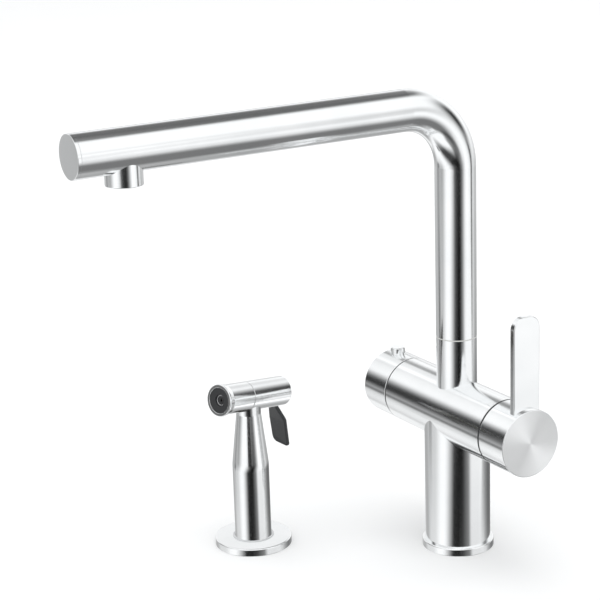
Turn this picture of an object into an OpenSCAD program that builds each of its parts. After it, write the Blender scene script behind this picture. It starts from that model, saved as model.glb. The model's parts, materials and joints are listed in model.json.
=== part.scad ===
// Three-way kitchen mixer with an L-shaped swivel spout and a separate side spray.
// Millimetres. +Z is up, the spout points to -Y, the mixer lever is on +X.
// The origin is the centre of the mixer's base, on the worktop.

/* [Worktop fixing] */
// Thickness of the worktop that the nuts clamp
deck_t = 30; // [20:1:40]
// Outer diameter of the mixer's threaded shank
shank_d = 33; // [31:0.5:35]
// Bore of the shank, which the hoses pass through
shank_bore_d = 26.4; // [24:0.2:27]
// Length of the shank below the worktop
shank_len = 60; // [55:1:75]
// Height of each clamping nut
nut_h = 9; // [7:0.5:12]
// Width of the radial band of each washer outside its shank
washer_band = 10; // [7:0.5:12]
// Thickness of the rubber washers under the worktop
rubber_t = 3; // [2:0.5:4]
// Thickness of the steel washer under the worktop
steel_t = 2; // [1.5:0.25:3]

/* [Base] */
// Diameter of the base ring
base_d = 50.2; // [49:0.2:54]
// Height of the base ring
base_h = 5.5; // [4.5:0.5:8]
// Rounding of the upper edges of the base ring and the spray flange
edge_r = 0.8; // [0.4:0.1:1.2]
// Thickness of the seals under the base ring and the spray flange
seal_t = 1.5; // [1:0.25:2]
// Radial width of those seals
seal_w = 4; // [3:0.25:5]

/* [Body] */
// Diameter of the upright body
body_d = 45.5; // [45:0.25:46]
// Wall of the upright body round the hose chamber
body_wall = 3; // [2.5:0.1:4]
// Height of the threaded foot that the shank screws into
foot_t = 10; // [8:0.5:14]
// Height of the hose chamber above the foot
chamber_h = 36; // [30:1:42]
// Diameter of the cross body, the hub and the knob
cross_d = 46; // [46:0.25:49]
// Distance from the column axis to each end of the cross body
cross_half = 55; // [54:0.5:62]
// Height of the cross body's axis above the worktop
axis_z = 99.5; // [97:0.5:110]
// Height of the neck above the cross body's axis
neck_h = 53.8; // [50:0.2:64]

/* [Waterways] */
// Radius of the circle that the four hose ports lie on
port_ring_r = 8; // [7.5:0.25:8.5]
// Thread diameter of the hose ports
port_d = 9.2; // [8.6:0.2:10]
// Depth of the threaded hose ports
port_depth = 12; // [10:0.5:14]
// Diameter of the drilled hot and cold channels
channel_d = 5.6; // [4.6:0.2:6]
// Diameter of the drilled filter and spray channels
small_channel_d = 4.6; // [4:0.2:4.6]

/* [Spout] */
// Diameter of the spout tube and the neck
tube_d = 28; // [27:0.25:29]
// Wall of the spout tube
tube_wall = 1.5; // [1.2:0.1:1.8]
// Radius of the bend, at the tube's centre line
bend_r = 42; // [38:1:50]
// Height of the spout's level part above the worktop, at its centre line
spout_z = 314.5; // [290:1:340]
// Reach of the spout from the column axis to its flat end
spout_reach = 278; // [240:2:300]
// Thickness of the disc that closes the spout
cap_t = 2.4; // [2:0.2:3]
// Bore of the neck, in which the spout turns
neck_bore_d = 22; // [21.5:0.25:22.5]
// Length of the swivel spigot below the joint
spigot_low = 26; // [25.5:0.25:27]
// Length of the swivel spigot inside the spout tube
spigot_up = 18; // [14:1:26]
// Thickness of the slide ring in the swivel joint
slide_t = 0.8; // [0.6:0.1:1.2]

/* [Aerator] */
// Distance of the outlet from the spout's flat end
outlet_back = 35; // [28:1:50]
// Outer diameter of the outlet socket
outlet_d = 23.6; // [23:0.2:24.4]
// How far the outlet socket hangs below the spout
outlet_drop = 7.4; // [5:0.2:12]
// Bore of the outlet socket
outlet_bore_d = 20.2; // [19.6:0.2:20.4]
// Height of the aerator body
aerator_h = 7; // [6:0.5:8]
// Width across the flats of each honeycomb cell
cell_af = 2.2; // [1.8:0.1:2.4]

/* [Mixer lever] */
// Length of the lever hub
hub_len = 26.9; // [26:0.1:30]
// Gap of the seam beside the hub and the knob
seam = 0.6; // [0.4:0.1:0.8]
// Width of the lever blade
blade_w = 20.8; // [18:0.4:24]
// Thickness of the lever blade
blade_t = 4.5; // [3.5:0.25:5]
// Height of the blade's top above the cross body's axis
blade_top = 86; // [70:1:110]
// Radius of the blade's upper corners
blade_corner = 8; // [5:0.5:9]
// Distance of the blade's outer face from the hub's end face
blade_inset = 4; // [3:0.25:6]
// Diameter of the mixing cartridge
cart_d = 35; // [34:0.25:36]
// Thickness of each ceramic disc
disc_t = 3.9; // [3:0.1:4.5]
// Width of the square stem of the cartridge
stem_w = 10; // [8:0.5:11]

/* [Filter knob] */
// Length of the filter water knob
knob_len = 26.9; // [25:0.1:32]
// Diameter of the round pin on the knob
knob_pin_d = 10.4; // [8:0.2:12]
// How far the pin stands out of the knob
knob_pin_h = 4.5; // [2.5:0.5:6]
// Distance of the pin's axis from the knob's end face
knob_pin_inset = 9.5; // [8:0.5:12]
// Thread diameter of the quarter-turn headwork
headwork_d = 20.5; // [19.5:0.25:21.5]
// Diameter of the headwork's spindle
spindle_d = 8; // [7:0.25:9]

/* [Side spray holder] */
// Position of the spray holder across the worktop
spray_x = -85; // [-120:1:-80]
// Position of the spray holder in front of the mixer's axis
spray_y = -118.5; // [-150:0.5:-90]
// Diameter of the holder's flange
flange_d = 54.4; // [50:0.4:60]
// Height of the holder's flange
flange_h = 5.4; // [4:0.2:8]
// Outer diameter of the holder's threaded tube
holder_d = 32.4; // [31.4:0.2:35]
// Length of the holder's threaded tube below the worktop
holder_len = 52; // [48:1:65]
// Wall of the plastic insert that guides the handset
insert_wall = 1; // [0.8:0.1:1.2]
// Height of the insert's visible collar
collar_h = 0.9; // [0.6:0.1:1.4]
// Width of that collar on the flange
collar_w = 0.5; // [0.4:0.1:1.2]
// Depth of the handset's foot below the worktop
sit_depth = 32; // [24:1:36]

/* [Side spray handset] */
// Diameter of the grip
grip_d = 25.8; // [24.6:0.2:26]
// Diameter of the grip just below the head
grip_top_d = 17.4; // [16:0.2:19]
// Height where the grip starts to narrow
grip_turn_z = 60; // [50:1:68]
// Radius of the bend where the grip starts to narrow
grip_turn_r = 50; // [20:5:80]
// Height of the head's axis above the worktop, over the grip
head_z = 110.1; // [106:0.5:120]
// Upward tilt of the head
head_tilt = 8.8; // [4:0.2:12]
// Turn of the handset in its holder
handset_turn = 17; // [0:1:30]
// Diameter of the head
head_d = 21; // [20.6:0.2:22]
// Diameter of the head's front rim
rim_d = 22.4; // [22.2:0.2:24]
// Length of the head in front of the grip's axis
head_front_len = 29; // [28.5:0.5:33]
// Length of the head behind the grip's axis
head_rear_len = 34.5; // [34.5:0.5:40]
// Distance of the head's seam in front of the grip's axis
head_seam = 3.3; // [2.5:0.2:4.1]
// Wall of the head's shells
head_wall = 1.3; // [1:0.1:1.5]
// Diameter of the jet in the middle of the spray face
jet_d = 8; // [7:0.2:9]
// Width of the trigger's paddle
trigger_w = 14.8; // [13:0.4:17]
// Width of the trigger's neck, which enters the head
trigger_neck_w = 8; // [7.6:0.2:8.4]
// Thickness of the trigger's paddle
trigger_t = 2.8; // [2.2:0.2:3.2]
// Length of the trigger's paddle along its middle line
trigger_len = 33.4; // [29:0.4:36]
// Radius of the paddle's outward bow, in the side view
trigger_bow = 58; // [50:2:90]
// Diameter of the trigger's pivot pin
pivot_d = 2.4; // [2:0.1:2.8]
// Diameter of the swivel spigot on the hose coupling
coupling_spigot_d = 14; // [12:0.5:15]
// Diameter of the hose coupling below the grip
coupling_d = 18.4; // [17:0.2:18.8]
// Thread diameter of the hose coupling's socket
hose_thread_d = 12; // [11:0.5:13]

/* [Hidden] */
$fn = 72;

// Overlap of a cutting shape past the face that it cuts
eps = 0.5;
// Clearance between fixed pieces that fit round one another
fit = 0.05;
// Radial clearance of pieces that turn or slide in one another
run = 0.07;
// Clearance between faces that move past one another
rest_gap = 0.1;

shank_r = shank_d / 2;
shank_bore_r = shank_bore_d / 2;
tube_r = tube_d / 2;
bore_r = tube_r - tube_wall;
cross_r = cross_d / 2;
neck_top = axis_z + neck_h;
spout_foot = neck_top + slide_t + fit;
chamber_top = base_h + foot_t + chamber_h;
port_off = port_ring_r * cos(45);
washer_r = shank_r + washer_band;

// Mixing cartridge, along +X from its seat
cart_r = cart_d / 2;
cart_seat_x = cross_half - 38;
cart_in_drop = 5;
cart_out_rise = 3.5;
cart_base_x = cart_seat_x + 0.8;
cart_base_t = 4.2;
cart_ports = [[cart_in_drop, port_off], [cart_in_drop, -port_off], [-cart_out_rise, 0]];
fixed_disc_x = cart_base_x + cart_base_t + fit;
moving_disc_x = fixed_disc_x + disc_t + fit;
driver_x = moving_disc_x + disc_t + fit;
driver_t = 6;
cart_top_t = 3;
cart_lid_x = driver_x + driver_t + rest_gap;
cart_nut_x = cart_lid_x + cart_top_t + fit;
cart_nut_t = cross_half - 2 - cart_nut_x;
stem_neck_r = stem_w * 0.8;
disc_r = cart_r - 3.1;
hub_x = cross_half + seam;
hub_end_x = hub_x + hub_len;
hub_wall = 3.5;
hub_cup = 8.6;
stem_grip = 7;
blade_x = hub_end_x - blade_inset - blade_t;
blade_root = cross_r - 9;
grub_r = 2.5;
grub_len = 8;

// Filter valve, along -X from its seat
headwork_r = headwork_d / 2;
valve_seat_x = cross_half - 31;
valve_inlet_depth = 4;
// Groove round the headwork that collects the filtered water
valve_groove_w = 5;
valve_groove_depth = 1.7;
valve_cup_r = headwork_r - 2.25;
valve_cup_len = 12;
valve_disc_t = 3;
valve_seal_t = 2;
spindle_r = spindle_d / 2;
filter_out_x = valve_seat_x + valve_cup_len - 1.3;
knob_x = cross_half + seam;
knob_end_x = knob_x + knob_len;
knob_cup = 14.6;
knob_boss_r = 7;
knob_grip = 9;
spindle_end_x = knob_x + knob_cup + knob_grip - 5;
hex_t = 3;
hex_af = 24;

// Diverter, at the floor of the neck's bore
neck_bore_r = neck_bore_d / 2;
neck_floor = axis_z + 8;
diverter_z = neck_floor + fit;
diverter_low_h = 8;
diverter_h = neck_top - spigot_low - 1.5 - diverter_z;
piston_bore_r = 6;
piston_seat = diverter_z + 5;
piston_h = 4.8;
piston_stem_r = 1.8;
diverter_cap_t = 1.5;
diverter_cap_z = diverter_z + diverter_h - diverter_cap_t;
waterway_r = 4;

// Swivel joint
spigot_bore_r = 8.5;
ring_section_r = 0.78;
o_ring_zs = [neck_top - spigot_low + 6.3, neck_top - 6.5];
lock_groove_z = neck_top - 13.3;
lock_groove_r = neck_bore_r - 1.1;
lock_groove_h = 4;
o_groove_h = 2.4;
o_groove_r = neck_bore_r - 1.62;

// Outlet
outlet_r = outlet_d / 2;
outlet_bore_r = outlet_bore_d / 2;
outlet_y = -(spout_reach - outlet_back);
outlet_low = spout_z - tube_r - outlet_drop;
outlet_high = spout_z - sqrt(tube_r * tube_r - outlet_r * outlet_r) + 0.4;
aerator_z = outlet_low + 0.8;
screen_t = 0.6;
outlet_washer_t = 1.5;
outlet_lip_z = aerator_z + aerator_h + screen_t + outlet_washer_t + 3 * fit;
outlet_lip_r = outlet_bore_r - 1.6;

// Side spray
grip_r = grip_d / 2;
guide_gap = 0.2;
insert_in_r = grip_r + guide_gap;
insert_out_r = insert_in_r + insert_wall;
holder_r = holder_d / 2;
lip_t = 2;
lip_r = coupling_d / 2 + 0.5;
grip_foot = -sit_depth;
coupling_spigot_r = coupling_spigot_d / 2;
coupling_low = 20;
coupling_up = 14;
hose_thread_len = 15;
head_r = head_d / 2;
rim_r = rim_d / 2;
head_in_r = head_r - head_wall;
head_gap = 0.2;
head_end_t = 1.5;
core_r = head_in_r - fit;
core_front = 14;
core_rear = 12;
stem_tube_r = 5.4;
stem_tube_len = 26;
chamber_r = 4.5;
chamber_front = 8;
chamber_rear = 6;
seat_r = 2.5;
rod_r = 1.5;
collar_t = 2;
collar_r = 3;
valve_disc_r = 3.8;
valve_washer_t = 1.5;
face_set = 0.6;
face_t = 3;
face_r = head_in_r + 0.4;
jet_r = jet_d / 2;
pivot_r = pivot_d / 2;
pivot_y = 21;
pivot_z = -5.2;
nose_r = 1.4;
eye_r = pivot_r + 0.8;
collar_y = pivot_y + nose_r + 0.45;
trigger_slot_y = [pivot_y - 0.6, pivot_y + 9.2];
paddle_top_a = 38;
paddle_top = [pivot_y + 5.4, pivot_z - 4.2];
paddle_c = paddle_top - trigger_bow * [cos(paddle_top_a), sin(paddle_top_a)];
paddle_low_a = paddle_top_a - trigger_len / trigger_bow * 180 / PI;
paddle_low = paddle_c[1] + trigger_bow * sin(paddle_low_a);
// Travel of the valve rod, for which the return spring leaves room
rod_travel = 1.7;

// Points of an arc round a centre, for turned profiles
function arc(c, r, a0, a1, n) =
    [for (i = [0:n]) c + r * [cos(a0 + (a1 - a0) * i / n), sin(a0 + (a1 - a0) * i / n)]];

// A ring about Z that stands on z = 0
module ring(r_out, r_in, h) {
    difference() {
        cylinder(r = r_out, h = h);
        translate([0, 0, -eps]) cylinder(r = r_in, h = h + 2 * eps);
    }
}

// A disc with a rounded upper edge
module round_disc(r, h, edge) {
    rotate_extrude() polygon(concat(
        [[0, 0], [r, 0]],
        arc([r - edge, h - edge], edge, 0, 90, 5),
        [[0, h]]
    ));
}

// Places local Z along +X, with its foot at x on the cross body's axis
module on_x(x) {
    translate([x, 0, axis_z]) rotate([0, 90, 0]) children();
}

// Places local Z along -X, with its foot at -x on the cross body's axis
module on_neg_x(x) {
    translate([-x, 0, axis_z]) rotate([0, -90, 0]) children();
}

// Places pieces on the holder's axis
module at_spray() {
    translate([spray_x, spray_y, 0]) children();
}

// Places pieces in the head's frame: the nozzle points to local -Y, the centre is over the grip
module at_head() {
    at_spray() translate([0, 0, head_z]) rotate([0, 0, handset_turn])
        rotate([-head_tilt, 0, 0]) children();
}

// Places local Z along the head's axis, towards its rear, with its foot at y
module along_head(y) {
    translate([0, y, 0]) rotate([-90, 0, 0]) children();
}

// A socket screw without a head: thread, short tip and hexagonal socket at its foot
module grub(r, len, tip_r, tip_len) {
    difference() {
        union() {
            cylinder(r = r, h = len);
            translate([0, 0, len]) cylinder(r = tip_r, h = tip_len);
        }
        translate([0, 0, -eps]) cylinder(r = r * 0.55, h = min(r, len * 0.6) + eps, $fn = 6);
    }
}

// A hexagonal nut with a round bore
module hex_nut(af, bore, h) {
    difference() {
        cylinder(r = af / 2 / cos(30), h = h, $fn = 6);
        translate([0, 0, -eps]) cylinder(r = bore, h = h + 2 * eps);
    }
}

// A tube swept along a helix about Z, from 0 to len, as one closed polyhedron
module coil(r, wire_r, len, turns, steps, sides) {
    n = turns * steps;
    rise = len - 2 * wire_r;
    path = [for (i = [0:n]) let (a = 360 * i / steps) [r * cos(a), r * sin(a), wire_r + rise * i / n]];
    slope = atan2(rise, 2 * PI * r * turns);
    ring_pts = [for (i = [0:n]) for (k = [0:sides - 1])
        let (a = 360 * i / steps, b = 360 * k / sides)
        let (out = [cos(a), sin(a), 0], up = [sin(a) * sin(slope), -cos(a) * sin(slope), cos(slope)])
        path[i] + wire_r * (cos(b) * out + sin(b) * up)];
    sides_faces = [for (i = [0:n - 1]) for (k = [0:sides - 1]) for (half = [0, 1])
        let (k2 = (k + 1) % sides, p = i * sides, q = (i + 1) * sides)
        half == 0 ? [p + k, q + k, q + k2] : [p + k, q + k2, p + k2]];
    ends = [for (k = [1:sides - 2]) for (e = [0, 1])
        e == 0 ? [0, k, k + 1] : [n * sides, n * sides + k + 1, n * sides + k]];
    echo(coil_gap = rise / turns * cos(slope) - 2 * wire_r);
    polyhedron(ring_pts, concat(sides_faces, ends));
}

// Fixed pieces of the mixer

module main_body() {
    color("silver") difference() {
        union() {
            translate([0, 0, base_h]) cylinder(d = body_d, h = axis_z - base_h);
            on_x(-cross_half) cylinder(r = cross_r, h = 2 * cross_half);
            translate([0, 0, axis_z]) cylinder(r = tube_r, h = neck_h);
        }
        translate([0, 0, base_h - eps]) cylinder(r = shank_r + fit, h = foot_t + 2 * eps);
        translate([0, 0, base_h + foot_t]) cylinder(r = body_d / 2 - body_wall, h = chamber_h);
        for (x = [-1, 1], y = [-1, 1]) {
            translate([x * port_off, y * port_off, chamber_top - eps])
                cylinder(d = port_d, h = port_depth + eps);
        }
        body_channels();
        on_x(cart_seat_x) cylinder(r = cart_r + fit, h = cross_half - cart_seat_x + eps);
        on_neg_x(valve_seat_x)
            cylinder(r = headwork_r + fit, h = cross_half - valve_seat_x + eps);
        on_neg_x(valve_seat_x - valve_inlet_depth) cylinder(r = valve_cup_r, h = valve_inlet_depth + eps);
        on_neg_x(filter_out_x - valve_groove_w / 2)
            cylinder(r = headwork_r + valve_groove_depth, h = valve_groove_w);
        translate([0, 0, neck_floor]) cylinder(r = neck_bore_r, h = neck_top - neck_floor + eps);
        translate([0, 0, lock_groove_z]) rotate([-90, 0, 0]) cylinder(r = grub_r + fit, h = tube_r + eps);
    }
}

// Drilled channels from the hose ports to the two valves and the spout
module body_channels() {
    up = axis_z - chamber_top - port_depth;
    for (y = [-1, 1]) {
        translate([port_off, y * port_off, chamber_top + port_depth - eps])
            cylinder(d = channel_d, h = up - cart_in_drop + channel_d / 2 + eps);
        translate([port_off, y * port_off, axis_z - cart_in_drop]) rotate([0, 90, 0])
            cylinder(d = channel_d, h = cart_seat_x - port_off + eps);
    }
    translate([-port_off, port_off, chamber_top + port_depth - eps])
        cylinder(d = small_channel_d, h = up + small_channel_d / 2 + eps);
    translate([-port_off, port_off, axis_z]) rotate([0, -90, 0])
        cylinder(d = small_channel_d, h = valve_seat_x - valve_inlet_depth - port_off + eps);
    translate([-port_off, -port_off, chamber_top + port_depth - eps])
        cylinder(d = small_channel_d, h = neck_floor - chamber_top - port_depth + 2 * eps);
    translate([0, 0, axis_z + cart_out_rise]) {
        rotate([0, 90, 0]) cylinder(d = channel_d, h = cart_seat_x + eps);
        cylinder(r = waterway_r, h = neck_floor - axis_z - cart_out_rise + eps);
    }
    filter_way_out();
}

// Bores from the groove round the filter valve down to the waterway under the diverter
module filter_way_out() {
    d = 3;
    down_x = neck_bore_r + 3.5;
    high = headwork_r + valve_groove_depth + 1;
    low = neck_floor - axis_z - d;
    translate([-down_x, 0, axis_z + high]) rotate([0, -90, 0]) cylinder(d = d, h = filter_out_x - down_x);
    translate([-down_x, 0, axis_z + low - d / 2]) cylinder(d = d, h = high - low + d);
    translate([0, 0, axis_z + low]) rotate([0, -90, 0]) cylinder(d = d, h = down_x);
}

module base_ring() {
    color("gainsboro") difference() {
        round_disc(base_d / 2, base_h, edge_r);
        translate([0, 0, -eps]) cylinder(r = shank_r + fit, h = base_h + 2 * eps);
        translate([0, 0, -eps]) ring(base_d / 2 - 1, base_d / 2 - 1 - seal_w, seal_t + eps);
    }
}

module base_seal() {
    color("dimgray") ring(base_d / 2 - 1 - fit, base_d / 2 - 1 - seal_w + fit, seal_t);
}

module mounting_shank() {
    color("goldenrod") translate([0, 0, -shank_len]) ring(shank_r, shank_bore_r, shank_len + base_h + foot_t);
}

module shank_rubber_washer() {
    color("black") translate([0, 0, -deck_t - rubber_t]) ring(washer_r, shank_r + fit, rubber_t);
}

module shank_steel_washer() {
    color("silver") translate([0, 0, -deck_t - rubber_t - steel_t]) ring(washer_r, shank_r + fit, steel_t);
}

module shank_nut() {
    color("goldenrod") translate([0, 0, -deck_t - rubber_t - steel_t - nut_h])
        hex_nut(2 * shank_r + 12, shank_r + fit, nut_h);
}

module spout_slide_ring() {
    color("white") translate([0, 0, neck_top]) ring(tube_r - 0.35, neck_bore_r + 0.1, slide_t);
}

module spout_set_screw() {
    tip = neck_bore_r - 0.1 - lock_groove_r - 0.25;
    color("dimgray") translate([0, tube_r - 0.3, lock_groove_z]) rotate([90, 0, 0])
        grub(grub_r, tube_r - 0.3 - neck_bore_r - 0.15, lock_groove_h / 2 - 0.4, 0.05 + tip);
}

// Diverter that sends water to the side spray

module diverter_body() {
    color("ivory") translate([0, 0, diverter_z]) difference() {
        union() {
            cylinder(r = piston_bore_r + 1.5, h = diverter_low_h);
            translate([0, 0, diverter_low_h])
                cylinder(r = neck_bore_r - fit, h = diverter_h - diverter_low_h);
        }
        translate([0, 0, -eps]) cylinder(r = waterway_r, h = diverter_h);
        translate([0, 0, piston_seat - diverter_z]) cylinder(r = piston_bore_r, h = diverter_h);
        for (a = [0, 90]) translate([0, 0, (piston_seat - diverter_z) / 2]) rotate([90, 0, a])
            cylinder(r = 1.2, h = 2 * neck_bore_r, center = true);
    }
}

module diverter_cap() {
    color("ivory") translate([0, 0, diverter_cap_z])
        ring(piston_bore_r - fit, piston_stem_r + 0.8, diverter_cap_t);
}

module diverter_piston() {
    color("dimgray") translate([0, 0, piston_seat + rest_gap]) {
        cylinder(r = piston_bore_r - run, h = piston_h);
        cylinder(r = piston_stem_r, h = diverter_cap_z - piston_seat);
    }
}

module diverter_spring() {
    foot = piston_seat + rest_gap + piston_h + 0.05;
    color("silver") translate([0, 0, foot])
        coil(piston_bore_r - 1.6, 0.3, diverter_cap_z - foot - 0.05, 4, 8, 6);
}

// Mixing cartridge and lever

module cartridge_seals() {
    color("black") on_x(cart_seat_x + fit) for (p = cart_ports)
        translate([p[0], p[1], 0]) ring(channel_d / 2 + 1.2, channel_d / 2, 1.7);
}

module cartridge_base() {
    color("white") on_x(cart_base_x) difference() {
        cylinder(r = cart_r, h = cart_base_t);
        for (p = cart_ports) translate([p[0], p[1], -eps]) {
            cylinder(d = channel_d, h = cart_base_t + 2 * eps);
            cylinder(r = channel_d / 2 + 1.25, h = 1 + eps);
        }
    }
}

module cartridge_housing() {
    color("white") on_x(fixed_disc_x) difference() {
        cylinder(r = cart_r, h = cart_lid_x + cart_top_t - fixed_disc_x);
        translate([0, 0, -eps]) cylinder(r = cart_r - 3, h = cart_lid_x - fixed_disc_x + eps);
        cylinder(r = stem_neck_r + run, h = cross_half);
    }
}

module fixed_ceramic_disc() {
    color("whitesmoke") on_x(fixed_disc_x) difference() {
        cylinder(r = disc_r, h = disc_t);
        for (p = cart_ports) translate([p[0], p[1], -eps]) cylinder(d = channel_d, h = disc_t + 2 * eps);
    }
}

module moving_ceramic_disc() {
    color("lightgray") on_x(moving_disc_x) difference() {
        cylinder(r = disc_r - 1.6, h = disc_t);
        translate([0, 0, -eps]) cylinder(r = 4.4, h = disc_t / 2 + eps);
        translate([0, 0, -eps]) rotate([0, 0, -142]) rotate_extrude(angle = 70)
            translate([3, 0]) square([disc_r - 7, disc_t / 2 + eps]);
    }
}

module cartridge_stem() {
    color("lightblue") on_x(driver_x) {
        cylinder(r = disc_r - 0.6, h = driver_t);
        cylinder(r = stem_neck_r, h = cart_nut_x + cart_nut_t - driver_x - 3);
        translate([0, 0, driver_t]) linear_extrude(hub_x + hub_cup + stem_grip - 0.5 - driver_x - driver_t)
            square(stem_w, center = true);
    }
}

module cartridge_nut() {
    color("goldenrod") on_x(cart_nut_x) difference() {
        ring(cart_r, stem_neck_r + 1, cart_nut_t);
        for (a = [0, 90]) rotate([0, 0, a])
            translate([-cart_r - eps, -2, cart_nut_t - 2.5]) cube([2 * cart_r + 2 * eps, 4, 2.5 + eps]);
    }
}

module hub_guide_ring() {
    color("black") on_x(cross_half - 1.9) {
        ring(cart_r - fit, cart_r - 2.5, 1.9 + fit);
        translate([0, 0, 1.9 + fit]) ring(cross_r - hub_wall - run, cart_r - 2.5, 2);
    }
}

module lever_hub() {
    cup_r = cross_r - hub_wall;
    color("silver") difference() {
        on_x(hub_x) difference() {
            round_disc(cross_r, hub_len, 0.5);
            translate([0, 0, -eps]) cylinder(r = cup_r, h = hub_cup + eps);
            translate([0, 0, hub_cup - eps]) linear_extrude(stem_grip + eps)
                square(stem_w + 2 * fit, center = true);
        }
        blade_slot();
        translate([hub_x + hub_cup + stem_grip / 2, 0, axis_z - cross_r - eps])
            cylinder(r = grub_r + fit, h = cross_r - stem_w / 2 + eps);
    }
}

// The slot in the hub that holds the blade's root
module blade_slot() {
    translate([blade_x - fit, -blade_w / 2 - fit, axis_z + blade_root - fit])
        cube([blade_t + 2 * fit, blade_w + 2 * fit, cross_r]);
}

module lever_blade() {
    top = blade_top - blade_root;
    color("gainsboro") translate([blade_x, 0, axis_z + blade_root]) rotate([90, 0, 90])
        linear_extrude(blade_t) polygon(concat(
            [[-blade_w / 2, 0], [blade_w / 2, 0]],
            arc([blade_w / 2 - blade_corner, top - blade_corner], blade_corner, 0, 90, 12),
            arc([blade_corner - blade_w / 2, top - blade_corner], blade_corner, 90, 180, 12)
        ));
}

module hub_screw() {
    color("dimgray") translate([hub_x + hub_cup + stem_grip / 2, 0, axis_z - stem_w / 2 - fit - grub_len])
        grub(grub_r, grub_len - 1, grub_r - 0.7, 1);
}

// Quarter-turn filter valve and its knob

module valve_seat_seal() {
    color("black") on_neg_x(valve_seat_x) ring(valve_cup_r - fit, valve_cup_r - 3, valve_seal_t);
}

module valve_headwork() {
    len = cross_half - valve_seat_x;
    color("goldenrod") on_neg_x(valve_seat_x + fit) difference() {
        union() {
            cylinder(r = headwork_r, h = len);
            translate([0, 0, len]) cylinder(r = hex_af / 2 / cos(30), h = hex_t, $fn = 6);
        }
        translate([0, 0, -eps]) cylinder(r = valve_cup_r, h = valve_cup_len + eps);
        cylinder(r = spindle_r + run, h = len + hex_t + eps);
        translate([0, 0, filter_out_x - valve_seat_x]) rotate([0, 90, 0])
            cylinder(r = 1.1, h = 3 * headwork_r, center = true);
    }
}

module valve_fixed_disc() {
    color("whitesmoke") on_neg_x(valve_seat_x + valve_seal_t + fit) difference() {
        cylinder(r = valve_cup_r - 0.1, h = valve_disc_t);
        translate([0, valve_cup_r / 2, -eps]) cylinder(r = 2, h = valve_disc_t + 2 * eps);
    }
}

module valve_moving_disc() {
    color("lightgray") on_neg_x(valve_seat_x + valve_seal_t + valve_disc_t + 2 * fit) difference() {
        cylinder(r = valve_cup_r - 0.1, h = valve_disc_t);
        translate([0, -valve_cup_r / 2, -eps]) cylinder(r = 2, h = valve_disc_t + 2 * eps);
    }
}

module valve_spindle() {
    foot = valve_seat_x + valve_seal_t + 2 * valve_disc_t + 3 * fit;
    flange_t = valve_cup_len + valve_seat_x - foot - rest_gap;
    color("goldenrod") on_neg_x(foot) {
        difference() {
            cylinder(r = valve_cup_r - 0.15, h = flange_t);
            translate([-2.1, -valve_cup_r - eps, -eps])
                cube([4.2, valve_cup_r + eps - 2.4, flange_t - 0.4 + eps]);
        }
        cylinder(r = spindle_r / 2, h = flange_t);
        translate([0, 0, flange_t - 0.4]) cylinder(r = spindle_r, h = spindle_end_x - foot - flange_t + 0.4);
    }
}

module filter_knob() {
    color("silver") difference() {
        on_neg_x(knob_x) difference() {
            union() {
                difference() {
                    round_disc(cross_r, knob_len, 0.5);
                    translate([0, 0, -eps]) cylinder(r = cross_r - hub_wall, h = knob_cup + eps);
                }
                translate([0, 0, hex_t + 2]) cylinder(r = knob_boss_r, h = knob_cup - hex_t - 1);
            }
            translate([0, 0, -eps]) cylinder(r = spindle_r + fit, h = knob_cup + knob_grip - 4.5);
        }
        translate([-knob_x - knob_cup + 3.5, 0, axis_z - cross_r - eps])
            cylinder(r = grub_r + fit, h = cross_r - spindle_r + eps);
        translate([-knob_end_x + knob_pin_inset, 0, axis_z + cross_r - 5])
            cylinder(r = knob_pin_d / 4 + fit, h = 10);
    }
}

module knob_pin() {
    r = knob_pin_d / 2;
    color("silver") translate([-knob_end_x + knob_pin_inset, 0, axis_z]) difference() {
        union() {
            translate([0, 0, cross_r - 1.5]) round_disc(r, 1.5 + knob_pin_h, 0.5);
            translate([0, 0, cross_r - 4.9]) cylinder(r = r / 2, h = 4);
        }
        translate([-2 * r, 0, 0]) rotate([0, 90, 0]) difference() {
            cylinder(r = cross_r + fit, h = 4 * r);
            translate([-cross_r - r, 0, 2 * r]) rotate([0, 90, 0]) cylinder(r = r / 2 + fit / 2, h = 3 * r);
        }
    }
}

module knob_screw() {
    color("dimgray") translate([-knob_x - knob_cup + 3.5, 0, axis_z - spindle_r - fit - grub_len])
        grub(grub_r, grub_len - 1, grub_r - 0.7, 1);
}

// Swivel spout

module spout_tube() {
    rise = spout_z - bend_r - spout_foot;
    run_len = spout_reach - bend_r - cap_t - fit;
    color("silver") difference() {
        spout_sweep(tube_r, rise, run_len, 0);
        spout_sweep(bore_r, rise, run_len, eps);
        translate([0, outlet_y, spout_z - tube_r - eps])
            cylinder(r = outlet_r + fit, h = outlet_high - spout_z + tube_r + eps + 3);
    }
}

// The spout's path as a solid of radius r, longer by more at both ends
module spout_sweep(r, rise, run_len, more) {
    translate([0, 0, spout_foot - more]) cylinder(r = r, h = rise + more);
    translate([0, -bend_r, spout_z - bend_r]) rotate([0, -90, 0])
        rotate_extrude(angle = 90) translate([bend_r, 0]) circle(r = r);
    translate([0, -bend_r, spout_z]) rotate([90, 0, 0]) cylinder(r = r, h = run_len + more);
}

module spout_end_cap() {
    color("lightgray") translate([0, -spout_reach + cap_t, spout_z]) rotate([90, 0, 0]) {
        round_disc(tube_r, cap_t, 0.3);
        translate([0, 0, -4]) cylinder(r = bore_r - fit, h = 4);
    }
}

module swivel_spigot() {
    low = neck_top - spigot_low;
    color("goldenrod") difference() {
        union() {
            translate([0, 0, low]) cylinder(r = neck_bore_r - run, h = spout_foot - low);
            translate([0, 0, spout_foot]) cylinder(r = bore_r - fit, h = spigot_up);
        }
        translate([0, 0, low - eps]) cylinder(r = spigot_bore_r, h = spigot_low + spigot_up + 5);
        for (z = o_ring_zs) translate([0, 0, z - o_groove_h / 2])
            ring(neck_bore_r + 1, o_groove_r, o_groove_h);
        translate([0, 0, lock_groove_z - lock_groove_h / 2])
            ring(neck_bore_r + 1, lock_groove_r, lock_groove_h);
    }
}

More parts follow.
